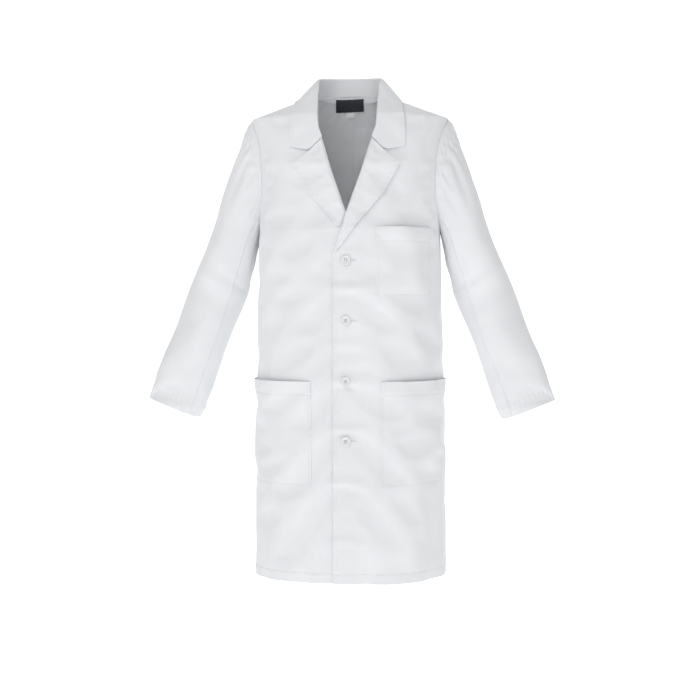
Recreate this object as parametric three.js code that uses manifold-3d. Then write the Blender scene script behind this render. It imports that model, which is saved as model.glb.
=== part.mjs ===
// A knee-length lab coat with a notched collar, set-in sleeves, a buttoned front and three patch pockets.
// Millimetres, +Z up, the front faces -Y and the wearer's left is +X.
// The origin is the middle of the neck opening, level with the neck ends of the shoulder seams.
import * as THREE from "three";
import { mergeVertices } from "three/addons/utils/BufferGeometryUtils.js";
import Module from "manifold-3d";

const wasm = await Module();
wasm.setup();

// Cloth
const cloth = 1.0; // one layer
const layerGap = 0.4; // between two layers that lie on each other
const collarGap = 1.2; // between the collar's two layers, which turn back on themselves
const seamGap = 0.6; // between two panels that a seam joins

// Body
const coatLength = 1000; // neck point to hem
const neckHalfWidth = 70;
const neckDepth = 76; // centre of the neck opening to its back edge
const neckRise = 14; // the back neck above the neck points
const shoulderHalfWidth = 206;
const shoulderDrop = 50;
const chestHalfWidth = 190;
const hemHalfWidth = 204;
const frontDepth = 140;
const backDepth = 130;
const bodySquareness = 2.4; // exponent of the body's cross-section: 2 is an ellipse
const underarmDepth = 285;
const armholeHalfDepth = 63;

// Front opening
const frontOverlap = 25; // each front reaches this far past the middle
const crossingDepth = 253; // where the two roll lines cross
const rollEndDepth = 333; // where the roll line reaches the front edge
const swingDepth = rollEndDepth - 2; // the fronts swing open below this depth
const facingColumns = 4; // how many of a front's columns the facing spans
const firstButtonDepth = 347;
const buttonSpacing = 121.5;
const buttonCount = 4;

// Collar and lapels
const rollHalfWidth = 61; // the roll line beside the neck
const collarFoldHeight = 58;
const collarFallHeight = 8; // the collar's outer edge at the back
const collarFallReach = 25; // and how far it stands off the back neck
const collarPointX = 117;
const collarPointDepth = 117;
const notchX = 76;
const notchDepth = 127;
const gorgeX = 50;
const gorgeDepth = 100;
const lapelTipX = 106;
const lapelTipDepth = 152;

// Pockets
const pocketBulge = 10; // an empty pocket's cloth stands this far off the coat
const chestPocketInnerX = 60;
const chestPocketWidth = 108;
const chestPocketTop = 281;
const chestPocketHeight = 138;
const lowerPocketInnerX = 70;
const lowerPocketTop = 590;
const lowerPocketHeight = 213;

// Sleeves
const sleeveReach = 228; // shoulder point to cuff, outward
const sleeveFall = 584; // shoulder point to cuff, downward
const cuffWidth = 123;
const elbowWidth = 117;
const cuffHalfDepth = 34;
const bicepHalfDepth = 62;
const elbowShare = 0.55; // of the sleeve's length

// Buttons
const buttonDiameter = 20;
const buttonThickness = 3;
const buttonHoleDiameter = 2.4;
const buttonHoleOffset = 2.1; // hole centre to button centre, along X and Z
const threadDiameter = 1.6;
const threadGap = 0.3;
const slitLength = 22;
const slitWidth = 4.6;
const buttonholeMargin = 2; // between the button and the patch's long edges

// Labels
const labelWidth = 62;
const labelHeight = 25;
const tagWidth = 20;
const tagHeight = 10;

const weave = { roughness: 0.9, metalness: 0 };
const white = new THREE.MeshStandardMaterial({ color: 0xe9e9ea, ...weave });
const stitchWhite = new THREE.MeshStandardMaterial({ color: 0xdededf, ...weave });
const plastic = new THREE.MeshStandardMaterial({ color: 0xe6e6e2, roughness: 0.35, metalness: 0 });
const labelCloth = new THREE.MeshStandardMaterial({ color: 0x55453c, ...weave });

const coat = new THREE.Group();
const { lerp, clamp, smoothstep } = THREE.MathUtils;

function add(name, geometry, material = white) {
  const mesh = new THREE.Mesh(geometry, material);
  mesh.name = name;
  coat.add(mesh);
}

// Straight lines between [position, value] pairs, in rising order of position.
function along(pairs, position) {
  const last = pairs.length - 1;
  for (let i = 1; i <= last; i += 1) {
    const [from, low] = pairs[i - 1];
    const [to, high] = pairs[i];
    if (position <= to || i === last) {
      return lerp(low, high, clamp((position - from) / (to - from), 0, 1));
    }
  }
}

function solidOf(geometry) {
  const plain = new THREE.BufferGeometry();
  const source = geometry.index ? geometry.toNonIndexed() : geometry;
  plain.setAttribute("position", source.getAttribute("position"));
  const merged = mergeVertices(plain, 1e-4);
  const vertProperties = merged.attributes.position.array;
  const triVerts = new Uint32Array(merged.index.array);
  return new wasm.Manifold(new wasm.Mesh({ numProp: 3, vertProperties, triVerts }));
}

function geometryOf(solid) {
  const { vertProperties, triVerts } = solid.getMesh();
  const geometry = new THREE.BufferGeometry();
  geometry.setAttribute("position", new THREE.BufferAttribute(new Float32Array(vertProperties), 3));
  geometry.setIndex(new THREE.BufferAttribute(new Uint32Array(triVerts), 1));
  return geometry;
}

function box(low, high) {
  const size = high.map((value, i) => value - low[i]);
  const middle = high.map((value, i) => (value + low[i]) / 2);
  return new THREE.BoxGeometry(...size).translate(...middle);
}

// A closed sheet of cloth: pointAt(u, v, side) gives its outer face for side 1 and its inner face for side 0.
function sheet(columns, rows, pointAt) {
  const spots = [];
  for (const side of [0, 1]) {
    for (let j = 0; j <= rows; j += 1) {
      for (let i = 0; i <= columns; i += 1) {
        spots.push(pointAt(i / columns, j / rows, side));
      }
    }
  }
  const at = (i, j, side) => (side * (rows + 1) + j) * (columns + 1) + i;
  const faces = [];
  const quad = (a, b, c, d) => faces.push(a, b, c, a, c, d);
  for (let j = 0; j < rows; j += 1) {
    for (let i = 0; i < columns; i += 1) {
      quad(at(i, j, 1), at(i + 1, j, 1), at(i + 1, j + 1, 1), at(i, j + 1, 1));
      quad(at(i, j, 0), at(i, j + 1, 0), at(i + 1, j + 1, 0), at(i + 1, j, 0));
    }
  }
  for (let i = 0; i < columns; i += 1) {
    quad(at(i, 0, 0), at(i + 1, 0, 0), at(i + 1, 0, 1), at(i, 0, 1));
    quad(at(i, rows, 0), at(i, rows, 1), at(i + 1, rows, 1), at(i + 1, rows, 0));
  }
  for (let j = 0; j < rows; j += 1) {
    quad(at(0, j, 0), at(0, j, 1), at(0, j + 1, 1), at(0, j + 1, 0));
    quad(at(columns, j, 0), at(columns, j + 1, 0), at(columns, j + 1, 1), at(columns, j, 1));
  }
  const [a, b, c] = faces.slice(0, 3).map((i) => spots[i]);
  const facing = b.clone().sub(a).cross(c.clone().sub(a));
  const outward = spots[at(0, 0, 1)].clone().sub(spots[at(0, 0, 0)]);
  if (facing.dot(outward) < 0) {
    faces.reverse();
  }
  const geometry = new THREE.BufferGeometry().setFromPoints(spots);
  geometry.setIndex(faces);
  return geometry;
}

// The body's surface: a rounded section at each height, narrowing to a ridge along the shoulders.
function halfWidth(z) {
  if (z >= -shoulderDrop) {
    return lerp(neckHalfWidth, shoulderHalfWidth, clamp(-z / shoulderDrop, 0, 1));
  }
  if (z > -underarmDepth) {
    const share = smoothstep(-z, shoulderDrop, underarmDepth);
    return lerp(shoulderHalfWidth, chestHalfWidth, share);
  }
  return along([[underarmDepth, chestHalfWidth], [coatLength, hemHalfWidth]], -z);
}

function halfDepth(z, back) {
  const full = back ? backDepth : frontDepth;
  const neck = back ? neckDepth : 0.41 * frontDepth;
  const shares = [
    [0, 0],
    [shoulderDrop, 0.37],
    [0.53 * underarmDepth, 0.73],
    [underarmDepth, 0.93],
    [400, 1],
  ];
  return lerp(neck, full, along(shares, -z));
}

const signedPower = (value, power) => Math.sign(value) * Math.abs(value) ** power;

// Angle 0 is the middle front, 90 degrees the side seam and 180 the middle back.
function bodyPoint(angle, z, lift) {
  const wide = halfWidth(z);
  const deep = halfDepth(z, Math.cos(angle) < 0);
  const x = wide * signedPower(Math.sin(angle), 2 / bodySquareness);
  const y = -deep * signedPower(Math.cos(angle), 2 / bodySquareness);
  const field = (px, py, pz) =>
    Math.abs(px / halfWidth(pz)) ** bodySquareness +
    Math.abs(py / halfDepth(pz, Math.cos(angle) < 0)) ** bodySquareness;
  const step = 0.5;
  const normal = new THREE.Vector3(
    field(x + step, y, z) - field(x - step, y, z),
    field(x, y + step, z) - field(x, y - step, z),
    clamp(z, -coatLength, -step) === z ? field(x, y, z + step) - field(x, y, z - step) : 0,
  ).normalize();
  return new THREE.Vector3(x, y, z).addScaledVector(normal, lift);
}

function angleAt(x, z) {
  const share = clamp(Math.abs(x) / halfWidth(z), 0, 1);
  return Math.sign(x) * Math.asin(share ** (bodySquareness / 2));
}

function mirrored(point, side) {
  return new THREE.Vector3(point.x * side, point.y, point.z);
}

// The armhole is an oval on the body's side.
const armholeMiddle = -(shoulderDrop + underarmDepth) / 2;
const armholeHalfHeight = (underarmDepth - shoulderDrop) / 2;

function armholeAngle(z, back) {
  const share = (z - armholeMiddle) / armholeHalfHeight;
  if (Math.abs(share) >= 1) {
    return Math.PI / 2;
  }
  const y = armholeHalfDepth * Math.sqrt(1 - share * share);
  const angle = Math.acos((y / halfDepth(z, back)) ** (bodySquareness / 2));
  return back ? Math.PI - angle : angle;
}

// The front's inner boundary in its own half: the roll line, then the straight front edge.
const rollLine = [
  [0, rollHalfWidth],
  [20, rollHalfWidth],
  [75, rollHalfWidth - 3],
  [165, 0.51 * rollHalfWidth],
  [crossingDepth, 0],
  [rollEndDepth, -frontOverlap],
];
const frontEdge = (z) => along(rollLine, -z);

const stack = cloth + layerGap; // from one layer to the next

// The right front sinks by two layers where the left one lies over it.
function sink(x, z, side) {
  const beside = smoothstep(x, frontOverlap + 3, frontOverlap + 35);
  const above = smoothstep(z, -crossingDepth, -crossingDepth + 50);
  return side > 0 ? 0 : 2 * stack * (1 - beside) * (1 - above);
}

// Heights where the rows of a panel lie, closer together over the armhole.
function rowsBetween(low, high, turns) {
  return [low, ...turns.filter((z) => z > low + 5 && z < high - 5), high];
}
const steps = (from, to, count) => Array.from({ length: count }, (_, i) => lerp(from, to, i / count));
const upperTurns = [
  ...steps(-coatLength, -swingDepth, 5),
  -swingDepth,
  -underarmDepth - 10,
  -underarmDepth - seamGap,
  ...steps(-underarmDepth + 4, -underarmDepth + 40, 2),
  ...steps(-underarmDepth + 40, -shoulderDrop - 25, 5),
  ...steps(-shoulderDrop - 25, -shoulderDrop, 2),
  ...steps(-shoulderDrop, 0, 4),
];

function rowValue(heights, v) {
  const place = v * (heights.length - 1);
  const i = Math.min(Math.floor(place), heights.length - 2);
  return lerp(heights[i], heights[i + 1], place - i);
}

const frontShares = [0, 0.05, 0.107, 0.193, 0.3, 0.42, 0.54, 0.66, 0.78, 0.89, 1];
const backShares = [0, 0.13, 0.26, 0.39, 0.52, 0.65, 0.77, 0.88, 0.96, 1];

// The first columns of a front's grid carry its facing too, so the two layers stay parallel.
function frontLayer(side, low, high, columns, lift) {
  const heights = rowsBetween(low, high, upperTurns);
  return sheet(columns, heights.length - 1, (u, v, face) => {
    const z = rowValue(heights, v);
    const edge = frontEdge(z) + (z > -rollEndDepth ? 0.2 : 0);
    const seam = seamGap / 2 / halfDepth(z, false);
    const share = frontShares[Math.round(u * columns)];
    const angle = lerp(angleAt(edge, z), armholeAngle(z, false) - seam, share);
    const x = bodyPoint(angle, z, 0).x;
    return mirrored(bodyPoint(angle, z, face * cloth + lift - sink(x, z, side)), side);
  });
}
const frontPanel = (side, low, high) => frontLayer(side, low, high, frontShares.length - 1, 0);
const facing = (side, low, high) => frontLayer(side, low, high, facingColumns, -stack);

function backPanel(side) {
  const neckTurns = steps(0, neckRise, 5);
  const heights = rowsBetween(-coatLength, neckRise - 0.2, [...upperTurns, ...neckTurns]);
  return sheet(backShares.length - 1, heights.length - 1, (u, v, face) => {
    const z = rowValue(heights, v);
    const seam = seamGap / 2 / halfDepth(z, true);
    const neckTurn = Math.asin(Math.sqrt(clamp(z / neckRise, 0, 1)));
    const start = z > 0 ? Math.PI / 2 + neckTurn * 0.97 : armholeAngle(z, true);
    const angle = lerp(start + seam, Math.PI, backShares[Math.round(u * (backShares.length - 1))]);
    const point = bodyPoint(angle, z, face * cloth);
    point.x = Math.max(point.x, seamGap / 2);
    return mirrored(point, side);
  });
}

add("left_back_panel", backPanel(1));
add("right_back_panel", backPanel(-1));

const ventTop = 620;
const ventWidth = 45;
add(
  "back_vent_underlap",
  sheet(3, 4, (u, v, face) => {
    const z = lerp(-coatLength + 2, -ventTop, v);
    const x = lerp(0, ventWidth, u);
    const point = bodyPoint(Math.PI - angleAt(x, z), z, face * cloth - stack - 0.3);
    return mirrored(point, -1);
  }),
);

// The buttonholes sit in patches that reach the front edge, so that a button can leave past it.
const buttonDepths = Array.from({ length: buttonCount }, (_, i) => firstButtonDepth + i * buttonSpacing);
const patchHalfHeight = buttonDiameter / 2 + buttonholeMargin;
const slitStart = -slitWidth / 2;
const slitEnd = slitStart + slitLength;
const patchEnd = slitEnd + buttonholeMargin;
const frontY = (z) => bodyPoint(0, z, 0).y;

function withoutPatches(geometry, low, high) {
  let solid = solidOf(geometry);
  for (const depth of buttonDepths.filter((d) => -d > low && -d < high)) {
    const room = patchHalfHeight + seamGap;
    const y = frontY(-depth);
    const near = [-frontOverlap - 5, y - 20, -depth - room];
    solid = solid.subtract(solidOf(box(near, [patchEnd + seamGap, y + 20, -depth + room])));
  }
  return geometryOf(solid);
}

const sections = [
  { part: "shoulder", low: -swingDepth + seamGap, high: 0 },
  { part: "front", low: -coatLength, high: -swingDepth },
];
for (const { part, low, high } of sections) {
  add(`left_${part}_panel`, withoutPatches(frontPanel(1, low, high), low, high));
  add(`left_${part}_facing`, withoutPatches(facing(1, low, high), low, high));
  add(`right_${part}_panel`, frontPanel(-1, low, high));
  add(`right_${part}_facing`, facing(-1, low, high));
}

buttonDepths.forEach((depth, index) => {
  const patch = sheet(4, 2, (u, v, face) => {
    const x = lerp(-frontOverlap, patchEnd, u);
    const z = lerp(-depth - patchHalfHeight, -depth + patchHalfHeight, v);
    return bodyPoint(angleAt(x, z), z, face ? cloth : -stack);
  });
  const y = frontY(-depth);
  const slit = box([slitStart, y - 20, -depth - slitWidth / 2], [slitEnd, y + 20, -depth + slitWidth / 2]);
  add(`buttonhole_${index + 1}`, geometryOf(solidOf(patch).subtract(solidOf(slit))), stitchWhite);
});

// Each button has a raised rim and four holes; its thread goes through them and through the slit.
buttonDepths.forEach((depth, index) => {
  const rest = cloth + layerGap + 0.8; // the button's back above the coat's surface
  const back = frontY(-depth) - rest;
  const radius = buttonDiameter / 2;
  const profile = [
    [0, 0],
    [radius - 1.2, 0],
    [radius, 1],
    [radius, buttonThickness - 0.8],
    [radius - 0.8, buttonThickness],
    [radius - 2, buttonThickness],
    [radius - 2.8, buttonThickness - 0.8],
    [0, buttonThickness - 0.8],
  ].map(([r, h]) => new THREE.Vector2(r, h));
  const place = (geometry) => geometry.rotateX(Math.PI).translate(0, back, -depth);
  const corners = [
    [-buttonHoleOffset, -buttonHoleOffset],
    [-buttonHoleOffset, buttonHoleOffset],
    [buttonHoleOffset, -buttonHoleOffset],
    [buttonHoleOffset, buttonHoleOffset],
  ];
  let disc = solidOf(new THREE.LatheGeometry(profile, 20));
  for (const [x, z] of corners) {
    const hole = new THREE.CylinderGeometry(buttonHoleDiameter / 2, buttonHoleDiameter / 2, 20, 8);
    disc = disc.subtract(solidOf(hole.translate(x, 0, z)));
  }
  add(`button_${index + 1}`, place(geometryOf(disc)), plastic);

  const face = buttonThickness - 0.8 + threadGap;
  const shankTop = -threadGap - 0.2;
  const shankEnd = cloth - 2 * stack + threadGap - rest; // just above the right front
  const shank = new THREE.CylinderGeometry(1.4, 1.4, shankTop - shankEnd, 10);
  let thread = solidOf(shank.translate(0, (shankTop + shankEnd) / 2, 0));
  const base = new THREE.CylinderGeometry(3.8, 3.8, 0.4, 10).translate(0, -threadGap - 0.2, 0);
  thread = thread.add(solidOf(base));
  for (const [x, z] of corners) {
    const leg = new THREE.CylinderGeometry(threadDiameter / 2, threadDiameter / 2, face + 0.6, 6);
    thread = thread.add(solidOf(leg.translate(x, (face + 0.6) / 2 - 0.5, z)));
  }
  for (const z of [-buttonHoleOffset, buttonHoleOffset]) {
    const bar = box(
      [-buttonHoleOffset - threadDiameter / 2, face, z - threadDiameter / 2],
      [buttonHoleOffset + threadDiameter / 2, face + threadDiameter / 2, z + threadDiameter / 2],
    );
    thread = thread.add(solidOf(bar));
  }
  add(`button_thread_${index + 1}`, place(geometryOf(thread)), stitchWhite);
});

// Lapels lie on the chest between the roll line and their own edge.
const lapelEdge = [
  [gorgeDepth, gorgeX + 1],
  [notchDepth, notchX],
  [lapelTipDepth, lapelTipX],
  [lapelTipDepth + 61, 0.69 * lapelTipX],
  [crossingDepth + 18, 0.23 * lapelTipX],
  [rollEndDepth, 4 - frontOverlap],
];
const lapelThickness = 1.6;

function lapel(side, bottom) {
  const corners = [-bottom, -crossingDepth, -lapelTipDepth, -notchDepth, -gorgeDepth];
  const turns = upperTurns.filter((z) => z > -bottom && z < -gorgeDepth);
  const heights = [...new Set([...corners, ...turns])].sort((a, b) => a - b);
  return sheet(5, heights.length - 1, (u, v, face) => {
    const z = rowValue(heights, v);
    const roll = frontEdge(z) + 0.4;
    const start = side > 0 ? roll : Math.max(roll, 1.5 - frontEdge(z));
    const end = Math.max(along(lapelEdge, -z), start + 0.8);
    const x = lerp(start, end, u);
    const rest = side > 0 ? 1.5 * layerGap : 3 * layerGap;
    const lift = cloth + rest + face * lapelThickness - sink(x, z, side);
    return mirrored(bodyPoint(angleAt(x, z), z, lift), side);
  });
}
add("left_lapel", lapel(1, swingDepth));
add("right_lapel", lapel(-1, crossingDepth + 26));

// The collar: a rise from the neck seam, a fold, and a fall that lies over the shoulders and chest.
const collarLift = cloth + layerGap + 1.7;
const shoulderLift = collarLift + 3.4; // the collar bridges the round of the shoulder
const onFront = (x, z) => bodyPoint(angleAt(x, z), z, collarLift);
const spot = (x, y, z) => new THREE.Vector3(x, y, z);
const collarRoots = [
  spot(0, neckDepth, neckRise + 0.7),
  spot(0.49 * neckHalfWidth, 0.92 * neckDepth, neckRise - 0.5),
  spot(0.84 * neckHalfWidth, 0.56 * neckDepth, 0.55 * neckRise),
  spot(0.99 * neckHalfWidth, 6, 2.6),
  spot(rollHalfWidth + 2, -34, 2.6),
  onFront(rollHalfWidth, -22),
  onFront(rollHalfWidth - 2, -70),
  onFront(gorgeX, -gorgeDepth + 2),
];
const collarFolds = [
  spot(0, neckDepth + 3, collarFoldHeight),
  spot(0.51 * neckHalfWidth, 0.9 * neckDepth, collarFoldHeight - 1),
  spot(0.83 * neckHalfWidth, 0.53 * neckDepth, collarFoldHeight - 6),
  spot(rollHalfWidth + 3, 4, 0.72 * collarFoldHeight),
  spot(rollHalfWidth + 2, -36, 0.33 * collarFoldHeight),
  onFront(rollHalfWidth + 5, -24),
  onFront(rollHalfWidth + 3, -78),
  onFront(notchX, -notchDepth + 2),
];
const collarEdges = [
  spot(0, neckDepth + collarFallReach, collarFallHeight),
  spot(0.74 * neckHalfWidth, neckDepth + 16, collarFallHeight - 2),
  spot(1.26 * neckHalfWidth, 0.79 * neckDepth, -2),
  spot(0.9 * collarPointX, 6, -7),
  onFront(0.945 * collarPointX, -30),
  onFront(0.98 * collarPointX, -58),
  onFront(0.995 * collarPointX, -88),
  onFront(collarPointX, -collarPointDepth),
];
const collarCurves = [collarRoots, collarFolds, collarEdges].map(
  (points) => new THREE.CatmullRomCurve3(points, false, "centripetal"),
);

// The place of one point of the collar, pushed clear of the body where the straight line would dip into it.
function collarMiddle(station, across) {
  const side = Math.sign(station) || 1;
  const [root, fold, edge] = collarCurves.map((curve) => curve.getPoint(Math.abs(station)));
  const foldShare = 0.4;
  const point =
    across < foldShare
      ? root.lerp(fold, across / foldShare)
      : fold.lerp(edge, (across - foldShare) / (1 - foldShare));
  if (point.z < 0 && Math.abs(point.x) < halfWidth(point.z)) {
    const front = angleAt(point.x, point.z);
    const angle = point.y < 0 ? front : Math.PI - front;
    const ground = bodyPoint(angle, point.z, 0);
    const rise = bodyPoint(angle, point.z, 1).sub(ground);
    const lift = lerp(collarLift, shoulderLift, smoothstep(point.z, -110, -62));
    const reach = Math.abs(ground.y) + lift / Math.max(Math.abs(rise.y), 0.25);
    point.y = Math.sign(point.y) * Math.max(Math.abs(point.y), reach);
  }
  return mirrored(point, side);
}

const collarShares = [0, 0.18, 0.34, 0.46, 0.64, 0.82, 1];

// Each layer is offset along the mean direction of the columns beside it, so the two stay apart at the fold.
function collarLayer(low, high) {
  const stations = 20;
  const stationStep = 1 / stations;
  const last = collarShares.length - 1;
  return sheet(last, stations, (u, v, face) => {
    const station = v * 2 - 1;
    const column = Math.round(u * last);
    const middle = collarMiddle(station, collarShares[column]);
    const outer = collarMiddle(station, collarShares[Math.min(column + 1, last)]);
    const alongU = outer.sub(collarMiddle(station, collarShares[Math.max(column - 1, 0)]));
    const next = collarMiddle(Math.min(station + stationStep, 1), collarShares[column]);
    const alongV = next.sub(collarMiddle(Math.max(station - stationStep, -1), collarShares[column]));
    const normal = alongV.cross(alongU).normalize();
    return middle.addScaledVector(normal, face ? high : low);
  });
}
add("upper_collar", collarLayer(collarGap / 2, collarGap / 2 + cloth));
add("under_collar", collarLayer(-collarGap / 2 - cloth, -collarGap / 2));

// A patch pocket: sewn down at its sides and bottom, standing off the coat between them, open at the top.
function pocket(side, inner, outer, top, height) {
  return sheet(10, 6, (u, v, face) => {
    const z = lerp(-top - height, -top, v);
    const from = angleAt(inner, z);
    const to = outer === null ? Math.PI / 2 - seamGap / halfDepth(z, false) : angleAt(outer, z);
    const angle = lerp(from, to, u);
    const puff = pocketBulge * Math.sin(Math.PI * u) ** 0.6 * Math.min(1, 4 * v);
    return mirrored(bodyPoint(angle, z, cloth + 2 * layerGap + puff + face * cloth), side);
  });
}
const chestPocketOuterX = chestPocketInnerX + chestPocketWidth;
add("chest_pocket", pocket(1, chestPocketInnerX, chestPocketOuterX, chestPocketTop, chestPocketHeight));
add("left_lower_pocket", pocket(1, lowerPocketInnerX, null, lowerPocketTop, lowerPocketHeight));
add("right_lower_pocket", pocket(-1, lowerPocketInnerX, null, lowerPocketTop, lowerPocketHeight));

// Sleeves: a tube from the armhole to the cuff, cut at the elbow, each half in an upper and an under piece.
const topOutline = [
  [0, shoulderHalfWidth, -shoulderDrop],
  [0.045, shoulderHalfWidth + 15, -shoulderDrop - 24],
  [1, shoulderHalfWidth + sleeveReach, -shoulderDrop - sleeveFall],
];
const sleeveLine = spot(sleeveReach - 15, 0, 24 - sleeveFall).normalize();
const sleeveAcross = spot(-sleeveLine.z, 0, sleeveLine.x);
const underarmPoint = spot(chestHalfWidth + 2.4, 0, -underarmDepth + 1);

function topAt(s) {
  const [x, z] = [1, 2].map((part) => along(topOutline.map((row) => [row[0], row[part]]), s));
  return spot(x, 0, z);
}

// Square across the sleeve from the elbow down; above it the lower line runs straight to the underarm.
function underAt(s) {
  const width = along([[elbowShare, elbowWidth], [1, cuffWidth]], s);
  const square = topAt(Math.max(s, elbowShare)).addScaledVector(sleeveAcross, -width);
  return s >= elbowShare ? square : underarmPoint.clone().lerp(square, s / elbowShare);
}

// Angle 0 is the sleeve's front, 90 degrees its top and 270 its underarm line.
function sleeveMiddle(angle, s) {
  const point = underAt(s).lerp(topAt(s), (1 + Math.sin(angle)) / 2);
  const widths = [[0, armholeHalfDepth], [0.3, bicepHalfDepth], [1, cuffHalfDepth]];
  point.y = -along(widths, s) * Math.cos(angle);
  const near = 1 - smoothstep(s, 0, 0.2);
  if (near > 0) {
    const z = clamp(point.z, -underarmDepth, -shoulderDrop);
    const share = 1 - (Math.abs(point.y) / halfDepth(z, point.y > 0)) ** bodySquareness;
    const bodyX = halfWidth(z) * Math.max(share, 0) ** (1 / bodySquareness);
    const startX = bodyX + seamGap + cloth + 0.8 * Math.max(0, -Math.sin(angle)) ** 2;
    const flatX = lerp(underarmPoint.x, shoulderHalfWidth, (1 + Math.sin(angle)) / 2);
    point.x += near * (startX - flatX);
  }
  return point;
}

function sleevePoint(angle, s, lift) {
  const step = 0.01;
  const around = sleeveMiddle(angle + step, s).sub(sleeveMiddle(angle - step, s));
  const down = sleeveMiddle(angle, Math.min(s + step, 1)).sub(sleeveMiddle(angle, Math.max(s - step, 0)));
  const normal = around.cross(down).normalize();
  return sleeveMiddle(angle, s).addScaledVector(normal, lift);
}

const underFrom = THREE.MathUtils.degToRad(215);
const underTo = THREE.MathUtils.degToRad(325);
const fullTurn = 2 * Math.PI;
const sleeveParts = [
  { piece: "top_sleeve", from: underTo - fullTurn, to: underFrom, columns: 12 },
  { piece: "under_sleeve", from: underFrom, to: underTo, columns: 6 },
];
const elbowGap = seamGap / 2 / sleeveFall;
const sleeveSpans = [
  { end: "upper", from: 0, to: elbowShare - elbowGap, rows: [0, 0.02, 0.045, 0.09, 0.14, 0.2, 0.3, 0.4] },
  { end: "lower", from: elbowShare + elbowGap, to: 1, rows: [0, 0.65, 0.78, 0.9] },
];
for (const [word, side] of [["left", 1], ["right", -1]]) {
  for (const { end, from, to, rows } of sleeveSpans) {
    const spans = [from, ...rows.slice(1), to];
    for (const { piece, from: first, to: last, columns } of sleeveParts) {
      const turn = seamGap / 2 / bicepHalfDepth;
      const geometry = sheet(columns, spans.length - 1, (u, v, face) => {
        const angle = lerp(first + turn, last - turn, u);
        return mirrored(sleevePoint(angle, rowValue(spans, v), face * cloth), side);
      });
      add(`${word}_${piece}_${end}`, geometry);
    }
  }
}

// The maker's label and the size tag inside the back of the neck.
function label(middleX, width, top, height) {
  return sheet(6, 3, (u, v, face) => {
    const z = lerp(top - height, top, v);
    const x = lerp(middleX - width / 2, middleX + width / 2, u);
    const angle = Math.PI - angleAt(x, z);
    return bodyPoint(angle, z, -2.8 * layerGap - (1 - face) * 0.8);
  });
}
const labelTop = neckRise - 6;
add("neck_label", label(-5, labelWidth, labelTop, labelHeight), labelCloth);
add("size_tag", label(-5, tagWidth, labelTop - labelHeight - seamGap, tagHeight), stitchWhite);

export default coat;
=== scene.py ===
import math

import bpy
import bmesh
import numpy as np
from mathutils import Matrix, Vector


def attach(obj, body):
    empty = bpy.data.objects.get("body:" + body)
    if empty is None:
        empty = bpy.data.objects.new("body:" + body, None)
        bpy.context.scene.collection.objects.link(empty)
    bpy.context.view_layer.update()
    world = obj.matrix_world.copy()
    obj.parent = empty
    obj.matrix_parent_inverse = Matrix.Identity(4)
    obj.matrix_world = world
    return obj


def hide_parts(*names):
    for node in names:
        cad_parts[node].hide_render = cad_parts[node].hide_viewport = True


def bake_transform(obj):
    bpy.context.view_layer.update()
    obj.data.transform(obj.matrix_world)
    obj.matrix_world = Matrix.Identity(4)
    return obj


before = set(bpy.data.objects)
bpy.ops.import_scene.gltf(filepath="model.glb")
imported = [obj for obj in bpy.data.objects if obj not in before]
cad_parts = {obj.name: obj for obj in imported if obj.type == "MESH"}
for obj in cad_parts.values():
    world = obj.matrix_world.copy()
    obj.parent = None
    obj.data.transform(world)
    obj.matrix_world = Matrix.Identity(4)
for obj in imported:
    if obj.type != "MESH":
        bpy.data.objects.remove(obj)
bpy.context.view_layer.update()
print("frame loaded:", len(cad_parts), "nodes")

# The coat's shape, in metres, the same as in the frame.
coat = {
    "length": 1.0, "neckHalf": 0.070, "neckDepth": 0.076, "neckRise": 0.014,
    "shoulderHalf": 0.206, "shoulderDrop": 0.050, "chestHalf": 0.190, "hemHalf": 0.204,
    "frontDepth": 0.140, "backDepth": 0.130, "square": 2.4,
    "underarm": 0.285, "armholeHalfDepth": 0.063,
}
hemZ, underarmZ, shoulderZ = -coat["length"], -coat["underarm"], -coat["shoulderDrop"]
opening = {"overlap": 0.025, "crossing": 0.253, "rollEnd": 0.333, "rollHalf": 0.061, "sink": 0.0026}
buttons = {"top": 0.347, "spacing": 0.1215, "count": 4, "radius": 0.010, "thickness": 0.003}
buttonSeat = 0.0014  # clear of the buttonhole's stitches
clothThickness = 0.0007
sides = (("left", 1), ("right", -1))


def together(*values):
    return np.broadcast_arrays(*[np.asarray(value, float) for value in values])


def signedPower(value, power):
    return np.sign(value) * np.abs(value) ** power


def smooth(value, low, high):
    t = np.clip((value - low) / (high - low), 0, 1)
    return t * t * (3 - 2 * t)


def halfWidth(z):
    drop, arm = coat["shoulderDrop"], coat["underarm"]
    ridge = coat["neckHalf"] + (coat["shoulderHalf"] - coat["neckHalf"]) * np.clip(-z / drop, 0, 1)
    side = coat["shoulderHalf"] + (coat["chestHalf"] - coat["shoulderHalf"]) * smooth(-z, drop, arm)
    skirt = np.interp(-z, [arm, coat["length"]], [coat["chestHalf"], coat["hemHalf"]])
    return np.where(z >= -drop, ridge, np.where(z > -arm, side, skirt))


def halfDepth(z, back):
    depths = [0, 0.05, 0.53 * coat["underarm"], coat["underarm"], 0.4]
    share = np.interp(-z, depths, [0, 0.37, 0.73, 0.93, 1])
    front = 0.41 * coat["frontDepth"] * (1 - share) + coat["frontDepth"] * share
    rear = coat["neckDepth"] * (1 - share) + coat["backDepth"] * share
    return np.where(back, rear, front)


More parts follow.
